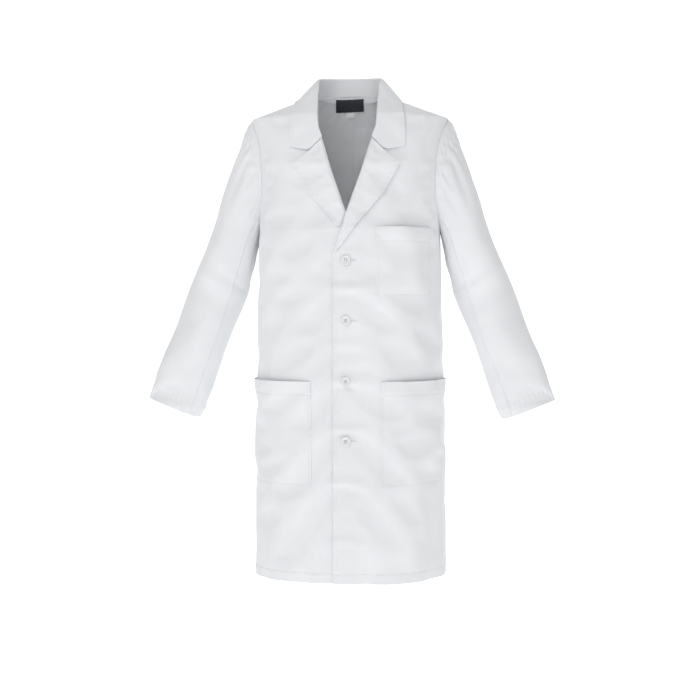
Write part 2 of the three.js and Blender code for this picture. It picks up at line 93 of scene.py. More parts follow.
# Angle 0 is the middle front, 90 degrees the wearer's left side seam, 180 the middle back.
def bodyBase(angle, z, lift=0.0):
    angle, z, lift = together(angle, z, lift)
    back = np.cos(angle) < 0
    n = coat["square"]
    x = halfWidth(z) * signedPower(np.sin(angle), 2 / n)
    y = -halfDepth(z, back) * signedPower(np.cos(angle), 2 / n)

    def field(px, py, pz):
        return np.abs(px / halfWidth(pz)) ** n + np.abs(py / halfDepth(pz, back)) ** n

    step = 0.0015
    normal = np.stack([
        field(x + step, y, z) - field(x - step, y, z),
        field(x, y + step, z) - field(x, y - step, z),
        np.where(z < -step, field(x, y, z + step) - field(x, y, z - step), 0),
    ], -1)
    normal /= np.maximum(np.linalg.norm(normal, axis=-1, keepdims=True), 1e-9)
    return np.stack([x, y, z], -1) + normal * lift[..., None]


def angleAt(x, z):
    share = np.clip(np.abs(x) / halfWidth(z), 0, 1)
    return np.sign(x) * np.arcsin(share ** (coat["square"] / 2))


armMiddle = -(coat["shoulderDrop"] + coat["underarm"]) / 2
armHalf = (coat["underarm"] - coat["shoulderDrop"]) / 2


def armholeAngle(z, back):
    share = np.clip(np.abs((z - armMiddle) / armHalf), 0, 1)
    y = coat["armholeHalfDepth"] * np.sqrt(1 - share ** 2)
    angle = np.arccos(np.clip(y / halfDepth(z, back), 0, 1) ** (coat["square"] / 2))
    return np.where(back, np.pi - angle, angle)


# Where a panel ends at the side: along the armhole, or at the side and shoulder seams.
def sideAngle(z, back):
    return np.where((z < shoulderZ) & (z > underarmZ), armholeAngle(z, back), np.pi / 2)


def frontEdge(z):
    half, low = opening["rollHalf"], opening["rollEnd"]
    depths = [0, 0.02, 0.075, 0.165, opening["crossing"], low]
    return np.interp(-z, depths, [half, half, half - 0.003, 0.51 * half, 0, -opening["overlap"]])


def sinkAt(x, z):
    beside = smooth(x, opening["overlap"] + 0.003, opening["overlap"] + 0.035)
    above = smooth(z, -opening["crossing"], -opening["crossing"] + 0.05)
    return opening["sink"] * (1 - beside) * (1 - above)


# Each tube of cloth is a regular grid, so the drape it takes can be read back at any angle and height.
drape = {"columns": 132, "rows": 104, "frames": 20, "cap": 0.0032, "waves": 0.0052}


def inScene(name, data):
    obj = bpy.data.objects.new(name, data)
    bpy.context.scene.collection.objects.link(obj)
    return obj


# A tube of cloth without the points that are cut away.
def clothGrid(name, points, keep):
    rows, columns = points.shape[:2]
    faces = []
    for j in range(rows - 1):
        for i in range(columns):
            k = (i + 1) % columns
            if keep[j, i] and keep[j, k] and keep[j + 1, i] and keep[j + 1, k]:
                low, high = j * columns, (j + 1) * columns
                faces.append((low + i, low + k, high + k, high + i))
    mesh = bpy.data.meshes.new(name)
    mesh.from_pydata(points.reshape(-1, 3).tolist(), [], faces)
    return inScene(name, mesh)


# Lets a grid of cloth, cut a little larger than its form, find its own folds, and returns how
# far each point moved.
def simulate(name, points, keep, pins, grow, bending, gravity):
    obj = clothGrid(name, points, keep)
    group = obj.vertex_groups.new(name="pins")
    flat = np.where(keep, pins, 1.0).reshape(-1)
    for level in np.unique(np.round(flat, 2)):
        group.add([int(i) for i in np.nonzero(np.round(flat, 2) == level)[0]], float(level), "REPLACE")
    cloth = obj.modifiers.new("Drape", "CLOTH")
    settings = cloth.settings
    settings.quality = 6
    settings.mass = 0.15
    settings.tension_stiffness = 20
    settings.compression_stiffness = 20
    settings.shear_stiffness = 8
    settings.bending_stiffness = bending
    settings.air_damping = 4
    settings.vertex_group_mass = "pins"
    settings.pin_stiffness = 0.35
    settings.shrink_min = -grow
    settings.effector_weights.gravity = gravity
    cloth.collision_settings.use_collision = False
    cloth.point_cache.frame_start = 1
    cloth.point_cache.frame_end = drape["frames"]
    scene = bpy.context.scene
    for number in range(1, drape["frames"] + 1):
        scene.frame_set(number)
    evaluated = obj.evaluated_get(bpy.context.evaluated_depsgraph_get())
    moved = np.empty(len(evaluated.data.vertices) * 3)
    evaluated.data.vertices.foreach_get("co", moved)
    move = moved.reshape(points.shape) - points
    bpy.data.objects.remove(obj)
    scene.frame_set(1)
    length = np.linalg.norm(move, axis=-1, keepdims=True)
    move *= drape["cap"] * np.tanh(length / drape["cap"]) / np.maximum(length, 1e-9)
    mean, most = [round(float(v) * 1000, 1) for v in (length.mean(), length.max())]
    print("draped", name, "mean", mean, "mm, most", most, "mm")
    return move * keep[..., None]


# Smooth cubic reading of a grid of vectors at fractional rows and columns.
def gridRead(grid, row, column):
    rows, columns = grid.shape[:2]
    row = np.clip(row, 0, rows - 1.0001)
    r0 = np.floor(row).astype(int)
    c0 = np.floor(column).astype(int)
    fr, fc = (row - r0)[..., None], (column - c0)[..., None]

    def weights(t):
        return [-t / 2 + t ** 2 - t ** 3 / 2, 1 - 2.5 * t ** 2 + 1.5 * t ** 3,
                t / 2 + 2 * t ** 2 - 1.5 * t ** 3, -t ** 2 / 2 + t ** 3 / 2]

    total = 0
    for a, wr in zip((-1, 0, 1, 2), weights(fr)):
        rr = np.clip(r0 + a, 0, rows - 1)
        for b, wc in zip((-1, 0, 1, 2), weights(fc)):
            total = total + wr * wc * grid[rr, (c0 + b) % columns]
    return total


# The long soft folds that hang from the chest to the hem.
def softWaves(angle, z):
    deep = smooth(-z, 0.30, 1.0)
    rear = 0.5 + 0.5 * smooth(np.abs(angle), 1.4, 2.6)
    wave = (0.55 * np.sin(5 * angle + 0.6 + 1.1 * z) + 0.30 * np.sin(8 * angle + 2.1 - 1.7 * z)
            + 0.22 * np.sin(13 * angle + 0.4 + 2.4 * z))
    placket = 1 - 0.75 * np.exp(-(angle / 0.16) ** 2)
    return drape["waves"] * deep * wave * (0.6 + 0.4 * rear) * placket


bodyAngles = (np.arange(drape["columns"]) / drape["columns"] * 2 - 1) * np.pi
bodyHeights = hemZ + coat["length"] * np.arange(drape["rows"]) / (drape["rows"] - 1)


def bodyDrape():
    angle, z = np.meshgrid(bodyAngles, bodyHeights)
    points = bodyBase(angle, z, softWaves(angle, z))
    x, y = points[..., 0], points[..., 1]
    arm = np.sqrt(((z - armMiddle) / armHalf) ** 2 + (y / coat["armholeHalfDepth"]) ** 2)
    front = np.cos(angle) > 0
    roll = np.abs(x) - frontEdge(z)
    openV = front & (z > -opening["crossing"]) & (roll < -0.010)
    keep = ~((arm < 0.93) & (np.abs(x) > 0.12)) & ~openV
    rolled = front & (z > -opening["rollEnd"])
    pins = np.maximum.reduce([
        np.full(z.shape, 0.20),
        1 - smooth(arm, 1.05, 1.5),
        0.9 * smooth(z, -0.11, -0.02),
        np.where(rolled, 0.9 * (1 - smooth(roll, 0.005, 0.05)), 0),
        np.where(front, 0.55 * (1 - smooth(np.abs(x), 0.015, 0.045)), 0),
        0.45 * (1 - smooth(np.abs(np.abs(angle) - np.pi / 2), 0.02, 0.10)),
        0.4 * (1 - smooth(z - hemZ, 0, 0.03)),
    ])
    return simulate("body_drape", points, keep, np.clip(pins, 0, 1), 0.014, 9.0, 0.25)


bodyMove = bodyDrape()


# A point of the draped body's surface.
def body(angle, z, lift=0.0):
    angle, z, lift = together(angle, z, lift)
    row = (z - hemZ) / coat["length"] * (drape["rows"] - 1)
    column = (angle / np.pi + 1) / 2 * drape["columns"]
    return bodyBase(angle, z, lift + softWaves(angle, z)) + gridRead(bodyMove, row, column)


sleeve = {
    "reach": 0.228, "fall": 0.584, "cuffWidth": 0.123, "elbowWidth": 0.117,
    "cuffHalfDepth": 0.034, "bicepHalfDepth": 0.062, "elbow": 0.55, "split": 0.48,
}
sleeveLine = np.array([sleeve["reach"] - 0.015, 0, 0.024 - sleeve["fall"]])
sleeveLine /= np.linalg.norm(sleeveLine)
sleeveAcross = np.array([-sleeveLine[2], 0, sleeveLine[0]])
underarmPoint = np.array([coat["chestHalf"] + 0.0012, 0, underarmZ])


def sleeveTop(s):
    out, drop = coat["shoulderHalf"], coat["shoulderDrop"]
    shares = [0, 0.015, 0.045, 0.12, 1]
    far = [0, 0.0075, 0.0158, 0.0325, sleeve["reach"]]
    low = [0, 0.0060, 0.0240, 0.0690, sleeve["fall"]]
    x, z = out + np.interp(s, shares, far), -drop - np.interp(s, shares, low)
    return np.stack([x, np.zeros_like(s), z], -1)


def sleeveUnder(s):
    width = np.interp(s, [sleeve["elbow"], 1], [sleeve["elbowWidth"], sleeve["cuffWidth"]])
    square = sleeveTop(np.maximum(s, sleeve["elbow"])) - sleeveAcross * width[..., None]
    share = np.clip(s / sleeve["elbow"], 0, 1)[..., None]
    return underarmPoint * (1 - share) + square * share


# Angle 0 is the sleeve's front, 90 degrees its top and 270 its underarm line.
def sleeveForm(angle, s):
    angle, s = together(angle, s)
    share = ((1 + np.sin(angle)) / 2)[..., None]
    point = sleeveUnder(s) * (1 - share) + sleeveTop(s) * share
    halves = [coat["armholeHalfDepth"], sleeve["bicepHalfDepth"], sleeve["cuffHalfDepth"]]
    deep = np.interp(s, [0, 0.3, 1], halves)
    y = -deep * np.cos(angle)
    near = 1 - smooth(s, 0, 0.2)
    z = np.clip(point[..., 2], underarmZ, shoulderZ)
    inside = np.maximum(1 - (np.abs(y) / halfDepth(z, y > 0)) ** coat["square"], 0)
    bodyX = halfWidth(z) * inside ** (1 / coat["square"])
    flatX = underarmPoint[0] * (1 - share[..., 0]) + coat["shoulderHalf"] * share[..., 0]
    x = point[..., 0] + near * (bodyX + 0.0008 - flatX)
    return np.stack([x, y, point[..., 2]], -1)


def sleeveBase(angle, s, lift=0.0):
    angle, s, lift = together(angle, s, lift)
    step = 0.01
    around = sleeveForm(angle + step, s) - sleeveForm(angle - step, s)
    down = sleeveForm(angle, np.minimum(s + step, 1)) - sleeveForm(angle, np.maximum(s - step, 0))
    normal = np.cross(around, down)
    normal /= np.maximum(np.linalg.norm(normal, axis=-1, keepdims=True), 1e-9)
    return sleeveForm(angle, s) + normal * lift[..., None]


def sleeveWaves(angle, s):
    middle = smooth(s, 0.10, 0.35) * (1 - 0.5 * smooth(s, 0.85, 1.0))
    elbow = np.exp(-((s - 0.56) / 0.10) ** 2)
    front = np.maximum(np.cos(angle), 0)
    return (0.0026 * middle * np.sin(3 * angle + 7 * s + 0.5)
            + 0.0022 * elbow * front * np.sin(55 * s + 1.5 * np.sin(angle))
            + 0.0016 * middle * np.sin(2 * angle - 19 * s))


sleeveColumns, sleeveRows = 64, 72


def sleeveDrape():
    turns = np.arange(sleeveColumns) / sleeveColumns * 2 * np.pi
    angle, s = np.meshgrid(turns, np.linspace(0, 1, sleeveRows))
    points = sleeveBase(angle, s, sleeveWaves(angle, s))
    pins = np.full(s.shape, 0.12)
    pins = np.maximum(pins, 1 - smooth(s, 0.02, 0.16))
    pins = np.maximum(pins, 0.35 * smooth(s, 0.95, 0.985))
    return simulate("sleeve_drape", points, np.ones(s.shape, bool), pins, 0.045, 4.0, 0.3)


sleeveMove = sleeveDrape()


def sleevePoint(angle, s, lift=0.0, side=1):
    angle, s, lift = together(angle, s, lift)
    move = gridRead(sleeveMove, s * (sleeveRows - 1), angle / (2 * np.pi) * sleeveColumns)
    point = sleeveBase(angle, s, lift + sleeveWaves(angle, s)) + move
    return point * np.array([side, 1, 1])


# Even stations from low to high, with a few close ones round each line.
def spread(low, high, step, lines=(), finest=0.0012):
    even = np.linspace(low, high, max(2, int(round((high - low) / step)) + 1))
    near = [line + k * finest for line in lines for k in (-2, -1, 0, 1, 2)]
    near = [v for v in near if low < v < high]
    even = [v for v in even if all(abs(v - w) > 0.8 * finest for w in near) or v in (low, high)]
    return np.array(sorted(set(even) | set(near)))


def groove(distance, depth=0.0005, width=0.0014):
    return -depth * np.exp(-(distance / width) ** 2)


# A grid of points as a mesh, with the cloth's own measure in metres as its UV.
def sheetMesh(name, points, uv, flip=False):
    rows, columns = points.shape[:2]
    index = np.arange(rows * columns).reshape(rows, columns)
    quads = np.stack([index[:-1, :-1], index[:-1, 1:], index[1:, 1:], index[1:, :-1]], -1).reshape(-1, 4)
    if flip:
        quads = quads[:, ::-1]
    mesh = bpy.data.meshes.new(name)
    mesh.from_pydata(points.reshape(-1, 3).tolist(), [], quads.tolist())
    layer = mesh.uv_layers.new(name="weave")
    flat = uv.reshape(-1, 2)[quads.reshape(-1)]
    layer.data.foreach_set("uv", flat.astype(np.float32).reshape(-1))
    return inScene(name, mesh)


def selectOnly(obj):
    bpy.ops.object.select_all(action="DESELECT")
    obj.select_set(True)
    bpy.context.view_layer.objects.active = obj


# Gives a sheet its thickness, smooth faces and material.
def finishSheet(obj, material, thickness=clothThickness, offset=-1):
    selectOnly(obj)
    obj.data.materials.append(material)
    wall = obj.modifiers.new("Wall", "SOLIDIFY")
    wall.thickness = thickness
    wall.offset = offset
    wall.use_even_offset = False
    bpy.ops.object.modifier_apply(modifier=wall.name)
    bpy.ops.object.shade_smooth_by_angle(angle=math.radians(50))


# Area, width and length of a grid of points, as cut flat.
def measured(points):
    a = points[1:, 1:] - points[:-1, :-1]
    b = points[1:, :-1] - points[:-1, 1:]
    area = float(np.linalg.norm(np.cross(a, b), axis=-1).sum() / 2)
    across = np.linalg.norm(np.diff(points, axis=1), axis=-1).sum(1).max()
    down = np.linalg.norm(np.diff(points, axis=0), axis=-1).sum(0).max()
    return area, float(across), float(down)


# drafted is the grid as it was cut, before the drape moved it.
def declare(drafted):
    area, width, length = measured(drafted)
    width, length = round(width, 4), round(length, 4)


stitch = {"pitch": 0.0030, "length": 0.0023, "radius": 0.00028}
holeStitch = {"pitch": 0.0016, "length": 0.0016, "radius": 0.00036}
sewing = {"pitch": 0.00098, "length": 0.00135, "radius": 0.00034}


# Adds one run of stitches to a bank of vertices and faces. The path is a fine line on the cloth.
def stitchRow(path, normals, bank, form=stitch):
    path, normals = np.asarray(path, float), np.asarray(normals, float)
    lengths = np.concatenate([[0], np.cumsum(np.linalg.norm(np.diff(path, axis=0), axis=1))])
    count = int(lengths[-1] / form["pitch"])
    for k in range(count):
        middle = (k + 0.5) * form["pitch"]
        ends = [middle - form["length"] / 2, middle + form["length"] / 2]
        a, b = [np.array([np.interp(e, lengths, path[:, i]) for i in range(3)]) for e in ends]
        up = np.array([np.interp(middle, lengths, normals[:, i]) for i in range(3)])
        up /= np.linalg.norm(up)
        direction = (b - a) / max(np.linalg.norm(b - a), 1e-9)
        aside = np.cross(direction, up)
        first = len(bank["verts"])
        bank["verts"].append(a - up * form["radius"] * 0.8)
        for share in (0.22, 0.78):
            centre = a + (b - a) * share + up * form["radius"] * 0.35
            for turn in range(6):
                c, s = math.cos(turn * math.pi / 3), math.sin(turn * math.pi / 3)
                bank["verts"].append(centre + (aside * c + up * s) * form["radius"])
        bank["verts"].append(b - up * form["radius"] * 0.8)
        for turn in range(6):
            n = (turn + 1) % 6
            bank["faces"].append((first, first + 1 + n, first + 1 + turn))
            bank["faces"].append((first + 1 + turn, first + 1 + n, first + 7 + n, first + 7 + turn))
            bank["faces"].append((first + 13, first + 7 + turn, first + 7 + n))


def newBank():
    return {"verts": [], "faces": []}


def bankObject(name, bank, material):
    mesh = bpy.data.meshes.new(name)
    mesh.from_pydata([tuple(v) for v in bank["verts"]], [], bank["faces"])
    mesh.polygons.foreach_set("use_smooth", [True] * len(mesh.polygons))
    mesh.materials.append(material)
    return inScene(name, mesh)


def mathNode(nodes, operation):
    node = nodes.new("ShaderNodeMath")
    node.operation = operation
    return node


def noiseNode(nodes, links, vector, scale, detail):
    noise = nodes.new("ShaderNodeTexNoise")
    noise.inputs["Scale"].default_value = scale
    noise.inputs["Detail"].default_value = detail
    links.new(vector, noise.inputs["Vector"])
    return noise


def rampNode(nodes, links, factor, low, dark, high, light):
    ramp = nodes.new("ShaderNodeValToRGB")
    for stop, place, colour in zip(ramp.color_ramp.elements, (low, high), (dark, light)):
        stop.position = place
        stop.color = (*colour, 1)
    links.new(factor, ramp.inputs["Fac"])
    return ramp


def bumpNode(nodes, links, height, strength, distance):
    bump = nodes.new("ShaderNodeBump")
    bump.inputs["Strength"].default_value = strength
    bump.inputs["Distance"].default_value = distance
    links.new(height, bump.inputs["Height"])
    return bump


# Threads crossing over and under, from the cloth's own UV in metres, as a height and a shade.
def weaveGroup():
    group = bpy.data.node_groups.new("plain_weave", "ShaderNodeTree")
    for socket, way in (("Count", "INPUT"), ("Height", "OUTPUT"), ("Shade", "OUTPUT")):
        group.interface.new_socket(socket, in_out=way, socket_type="NodeSocketFloat")
    nodes, links = group.nodes, group.links
    inputs, outputs = nodes.new("NodeGroupInput"), nodes.new("NodeGroupOutput")
    uv = nodes.new("ShaderNodeUVMap")
    uv.uv_map = "weave"
    scaled = nodes.new("ShaderNodeVectorMath")
    scaled.operation = "SCALE"
    links.new(uv.outputs["UV"], scaled.inputs[0])
    links.new(inputs.outputs["Count"], scaled.inputs["Scale"])
    apart = nodes.new("ShaderNodeSeparateXYZ")
    links.new(scaled.outputs["Vector"], apart.inputs[0])
    crossing = mathNode(nodes, "MULTIPLY")
    for i, axis in enumerate("XY"):
        wave = mathNode(nodes, "SINE")
        links.new(apart.outputs[axis], wave.inputs[0])
        links.new(wave.outputs[0], crossing.inputs[i])
    slub = noiseNode(nodes, links, scaled.outputs["Vector"], 0.35, 3)
    height = mathNode(nodes, "MULTIPLY_ADD")
    height.inputs[1].default_value = 0.35
    links.new(crossing.outputs[0], height.inputs[0])
    links.new(slub.outputs["Fac"], height.inputs[2])
    links.new(height.outputs[0], outputs.inputs["Height"])
    links.new(slub.outputs["Fac"], outputs.inputs["Shade"])
    return group


weave = weaveGroup()


def newMaterial(name):
    material = bpy.data.materials.new(name)
    material.use_nodes = True
    nodes = material.node_tree.nodes
    return material, nodes, material.node_tree.links, nodes["Principled BSDF"]


def clothMaterial(name, light, dark, roughness=0.92, sheen=0.25, count=5200, bump=0.12):
    material, nodes, links, shader = newMaterial(name)
    threads = nodes.new("ShaderNodeGroup")
    threads.node_tree = weave
    threads.inputs["Count"].default_value = count
    place = nodes.new("ShaderNodeTexCoord")
    patches = noiseNode(nodes, links, place.outputs["Object"], 9, 4)
    both = mathNode(nodes, "MULTIPLY_ADD")
    both.inputs[1].default_value = 0.4
    links.new(threads.outputs["Shade"], both.inputs[0])
    links.new(patches.outputs["Fac"], both.inputs[2])
    ramp = rampNode(nodes, links, both.outputs[0], 0.45, dark, 0.95, light)
    links.new(ramp.outputs["Color"], shader.inputs["Base Color"])
    creases = noiseNode(nodes, links, place.outputs["Object"], 38, 5)
    soft = bumpNode(nodes, links, creases.outputs["Fac"], 0.10, 0.004)
    fine = bumpNode(nodes, links, threads.outputs["Height"], bump, 0.0004)
    links.new(soft.outputs["Normal"], fine.inputs["Normal"])
    links.new(fine.outputs["Normal"], shader.inputs["Normal"])
    looks = {
        "Roughness": roughness, "Sheen Weight": sheen, "Sheen Roughness": 0.6, "Specular IOR Level": 0.2,
    }
    for key, value in looks.items():
        shader.inputs[key].default_value = value
    return material


# Colour and surface vary with a noise in the object's own space.
def plainMaterial(name, light, dark, scale, roughness, bump=0.1, distance=0.0002):
    material, nodes, links, shader = newMaterial(name)
    place = nodes.new("ShaderNodeTexCoord")
    noise = noiseNode(nodes, links, place.outputs["Object"], scale, 3)
    ramp = rampNode(nodes, links, noise.outputs["Fac"], 0.3, dark, 0.7, light)
    links.new(ramp.outputs["Color"], shader.inputs["Base Color"])
    relief = bumpNode(nodes, links, noise.outputs["Fac"], bump, distance)
    links.new(relief.outputs["Normal"], shader.inputs["Normal"])
    shader.inputs["Roughness"].default_value = roughness
    return material


whiteCloth = clothMaterial("white_cotton", (0.86, 0.87, 0.885), (0.80, 0.81, 0.825))
labelWeave = clothMaterial("label_satin", (0.045, 0.05, 0.06), (0.02, 0.022, 0.028), 0.6, 0.1, 9000, 0.2)
tagWeave = clothMaterial("tag_satin", (0.97, 0.97, 0.96), (0.93, 0.93, 0.92), 0.6, 0.1, 9000, 0.2)
threadMaterial = plainMaterial("white_thread", (0.86, 0.86, 0.87), (0.74, 0.74, 0.76), 3000, 0.75)
plastic = plainMaterial("button_plastic", (0.84, 0.84, 0.83), (0.78, 0.78, 0.77), 220, 0.32, 0.04)
print("materials ready")


seam = {"hem": 0.020, "edge": 0.006, "pucker": 0.00035, "lift": 0.0004}


def pucker(along, distance):
    ripple = np.sin(along * 2 * np.pi / 0.0125 + 2.2 * np.sin(along * 31))
    return seam["pucker"] * ripple * np.exp(-(distance / 0.007) ** 2)


# A turned-up hem: a second layer up to the stitches, and small ripples where the stitches pull.
def hemRelief(height, along):
    double = seam["lift"] * (1 - smooth(height, seam["hem"] - 0.001, seam["hem"] + 0.0015))
    return double + groove(height - seam["hem"]) + 2 * pucker(along, height - seam["hem"])


def frontAngle(z, share):
    side = sideAngle(z, False)
    start = angleAt(frontEdge(z), z)
    return start + (side - start) * share


# The side seam below the underarm and the shoulder seam above the drop.
def sideRelief(relief, z, side):
    below = 1 - smooth(z, underarmZ - 0.004, underarmZ + 0.004)
    shoulder = smooth(z, shoulderZ - 0.001, shoulderZ + 0.002)
    relief = relief + below * (groove(side, 0.0012, 0.0022) + pucker(z, side))
    return relief + shoulder * groove(side, 0.0009, 0.002)


def frontRelief(angle, z, x):
    inner = x - frontEdge(z)
    straight = 1 - smooth(z, -opening["rollEnd"] - 0.01, -opening["rollEnd"] + 0.02)
    relief = hemRelief(z - hemZ, x) + 0.0012 * straight * (1 - smooth(inner, 0.001, 0.024))
    relief = relief + straight * (groove(inner - seam["edge"]) + pucker(z, inner - seam["edge"]))
    return sideRelief(relief, z, halfDepth(z, False) * (np.pi / 2 - angle))


# Stations up the panel, close together over the shoulder.
seamHeights = [hemZ + seam["hem"], underarmZ]
shoulderHeights = np.linspace(shoulderZ, 0, 27)[1:]
frontHeights = np.concatenate([spread(hemZ, shoulderZ, 0.0044, seamHeights), shoulderHeights])


def frontSheet(name, side, shares, lift):
    z = frontHeights[:, None]
    angle = frontAngle(z, shares[None, :])
    z = np.broadcast_to(z, angle.shape)
    x = bodyBase(angle, z)[..., 0]
    sunk = sinkAt(x, z) if side < 0 else 0.0
    points = body(side * angle, z, lift - sunk + frontRelief(angle, z, x))
    obj = sheetMesh(name, points, np.stack([x * side, z], -1), flip=side < 0)
    finishSheet(obj, whiteCloth)
    return obj, bodyBase(side * angle, z, lift)


# Even stations in each span, the spans given as stops with a count between each two.
def spans(stops, counts):
    parts = [np.linspace(a, b, n) for a, b, n in zip(stops, stops[1:], counts)]
    return np.concatenate([parts[0]] + [part[1:] for part in parts[1:]])


frontShares = spans([0, 0.06, 0.96, 1], [12, 62, 9])


# Bakes the piece's placement into its mesh.
def openSwing(obj):
    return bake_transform(obj)


facingShare, facingLift = 0.27, -0.0009  # of the panel's width, and behind it
for word, side in sides:
    obj, drafted = frontSheet(word + "_front_cloth", side, frontShares, clothThickness)
    openSwing(obj)
    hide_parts(word + "_shoulder_panel", word + "_front_panel")
    declare(drafted)
    inner = np.linspace(0, facingShare, 22)
    facing, drafted = frontSheet(word + "_front_facing_cloth", side, inner, facingLift)
    openSwing(facing)
    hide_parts(word + "_shoulder_facing", word + "_front_facing")
    declare(drafted)
print("fronts ready")

neckHeights = coat["neckRise"] * np.linspace(0, 0.985, 10)[1:]
backHeights = np.concatenate([spread(hemZ, shoulderZ, 0.0048, seamHeights), shoulderHeights, neckHeights])
backShares = spans([0, 0.04, 0.96, 1], [8, 56, 9])


def backRelief(angle, z, x):
    relief = hemRelief(z - hemZ, x) + groove(x, 0.0010, 0.0020) + pucker(z, x)
    return sideRelief(relief, z, halfDepth(z, True) * (angle - np.pi / 2))


for word, side in sides:
    z = backHeights[:, None]
    neckTurn = np.arcsin(np.sqrt(np.clip(z / coat["neckRise"], 0, 1)))
    start = np.where(z > 0, np.pi / 2 + 0.97 * neckTurn, sideAngle(z, True))
    angle = start + (np.pi - start) * backShares[None, :]
    z = np.broadcast_to(z, angle.shape)
    x = bodyBase(angle, z)[..., 0]
    points = body(side * angle, z, clothThickness + backRelief(angle, z, x))
    obj = sheetMesh(word + "_back_cloth", points, np.stack([x * side, z], -1), flip=side < 0)
    finishSheet(obj, whiteCloth)
    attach(obj, "torso")
    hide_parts(word + "_back_panel")
    declare(bodyBase(side * angle, z))

vent = {"top": 0.62, "width": 0.045, "behind": 0.0012}
across = np.linspace(0, vent["width"], 12)[None, :]
down = np.linspace(hemZ + 0.002, -vent["top"], 90)[:, None]
points = body(-(np.pi - angleAt(across, down)), down, hemRelief(down - hemZ, across) - vent["behind"])
obj = sheetMesh("vent_underlap_cloth", points, np.stack(np.broadcast_arrays(across, down), -1), flip=True)
finishSheet(obj, whiteCloth)
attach(obj, "torso")
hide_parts("back_vent_underlap")
declare(bodyBase(np.pi - angleAt(across, down), down))
print("back ready")


degree = math.pi / 180
sleevePieces = {"top": (-35 * degree, 215 * degree, 100), "under": (215 * degree, 325 * degree, 44)}
sleeveEnds = {"upper": (0.0, sleeve["split"], 76), "lower": (sleeve["split"], 1.0, 92)}
cuffHem, sleeveLength = 0.024, 0.627
sleeveWeave = (0.06, 0.63)  # metres of cloth per radian round the sleeve and from its top to its end


def sleeveRelief(angle, s, first, last, width):
    edge = np.minimum(angle - first, last - angle) * width
    height = (1 - s) * np.linalg.norm([sleeve["reach"], sleeve["fall"]])
    double = seam["lift"] * (1 - smooth(height, cuffHem - 0.001, cuffHem + 0.0015))
    hem = double + groove(height - cuffHem) + 2 * pucker(angle * width, height - cuffHem)
    along = groove(edge, 0.0011, 0.0022) + pucker(s * sleeveWeave[1], edge)
    return along + hem + groove(s * 0.6, 0.0009, 0.003)


armStart, armEnd = Vector((0.2085, 0, -0.03)), Vector((0.2460, 0, -0.0325))
elbowMiddle = Vector((0.279, 0, -0.3908))
for word, side in sides:
    for end, (low, high, rows) in sleeveEnds.items():
        for piece, (first, last, columns) in sleevePieces.items():
            shares = spans([0, 0.03, 0.97, 1], [5, columns, 5])
            angle = (first + (last - first) * shares)[None, :]
            s = np.linspace(low, high, rows)[:, None]
            if end == "lower":
                close = 1 - (cuffHem + np.linspace(-0.003, 0.003, 7)) / sleeveLength
                s = np.array(sorted(set(np.linspace(low, high, rows)) | set(close)))[:, None]
            else:
                s = np.array(sorted(set(np.linspace(low, high, rows)) | {0.003, 0.006}))[:, None]
            relief = sleeveRelief(angle, s, first, last, sleeveWeave[0])
            points = sleevePoint(angle, s, clothThickness + relief, side)
            uv = np.stack(np.broadcast_arrays(angle * sleeveWeave[0], s * sleeveWeave[1]), -1)
            obj = sheetMesh(f"{word}_{piece}_sleeve_{end}_cloth", points, uv, flip=side < 0)
            finishSheet(obj, whiteCloth)
            if end == "upper":
                start, stop = [Vector((p.x * side, p.y, p.z)) for p in (armStart, armEnd)]
                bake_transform(obj)
            else:
                line = Vector((sleeveLine[0], 0, sleeveLine[2]))
                start, stop = [elbowMiddle + line * d for d in (-0.014, 0.024)]
                start, stop = [Vector((p.x * side, p.y, p.z)) for p in (start, stop)]
                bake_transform(obj)
            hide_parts(f"{word}_{piece}_sleeve_{end}")
            declare(sleeveBase(angle, s))
print("sleeves ready")


lapelDepths = [0.100, 0.127, 0.152, 0.213, 0.271, 0.333]
lapelReach = [0.051, 0.076, 0.106, 0.0731, 0.0244, -0.021]
lapelForm = {"thickness": 0.0022, "roll": 0.0036, "rest": 0.0026, "curl": 0.0022, "stitch": 0.006}


# How far out the lapel's own edge lies at a height.
def lapelEdge(z):
    return np.interp(-z, lapelDepths, lapelReach)


# From behind the roll line, round it, and out over the chest to the lapel's own edge.
def lapelGrid(side, bottom):
    z = np.linspace(-bottom, -lapelDepths[0], 110)
    z = np.array(sorted(set(z) | {-0.152, -0.127}))[:, None]
    roll = frontEdge(z)
    start = roll if side > 0 else np.maximum(roll, 0.0012 - frontEdge(z))
    end = np.maximum(lapelEdge(z), start + 0.0012)
    turn = np.linspace(-0.5 * np.pi, 0.45 * np.pi, 9)[None, :]
    radius = lapelForm["roll"] * np.minimum(1, (end - start) / 0.010)
    roundX = start - radius * np.cos(turn) * 0.8 + radius * 0.6
    roundLift = radius * (np.sin(turn) + 0.25)
    share = np.linspace(0.04, 1, 42)[None, :]
    flatX = roundX[:, -1:] + (end - roundX[:, -1:]) * share
    crown = radius * 1.25 * (1 - smooth(share, 0, 0.55)) + 0.0014 * np.sin(np.pi * share)
    curl = lapelForm["curl"] * smooth(share, 0.55, 1) * smooth(end - start, 0.004, 0.03)
    flatLift = crown + lapelForm["rest"] + curl
    x = np.concatenate([roundX, flatX], 1)
    lift = np.concatenate([roundLift, flatLift], 1)
    edge = np.minimum(end - x, 0.05)
    edge = edge - lapelForm["stitch"]
    lift = lift + groove(edge, 0.0004, 0.0012) + pucker(z, edge)
    z = np.broadcast_to(z, x.shape)
    sunk = sinkAt(np.maximum(x, start), z) if side < 0 else 0.0
    return x, z, lift - sunk


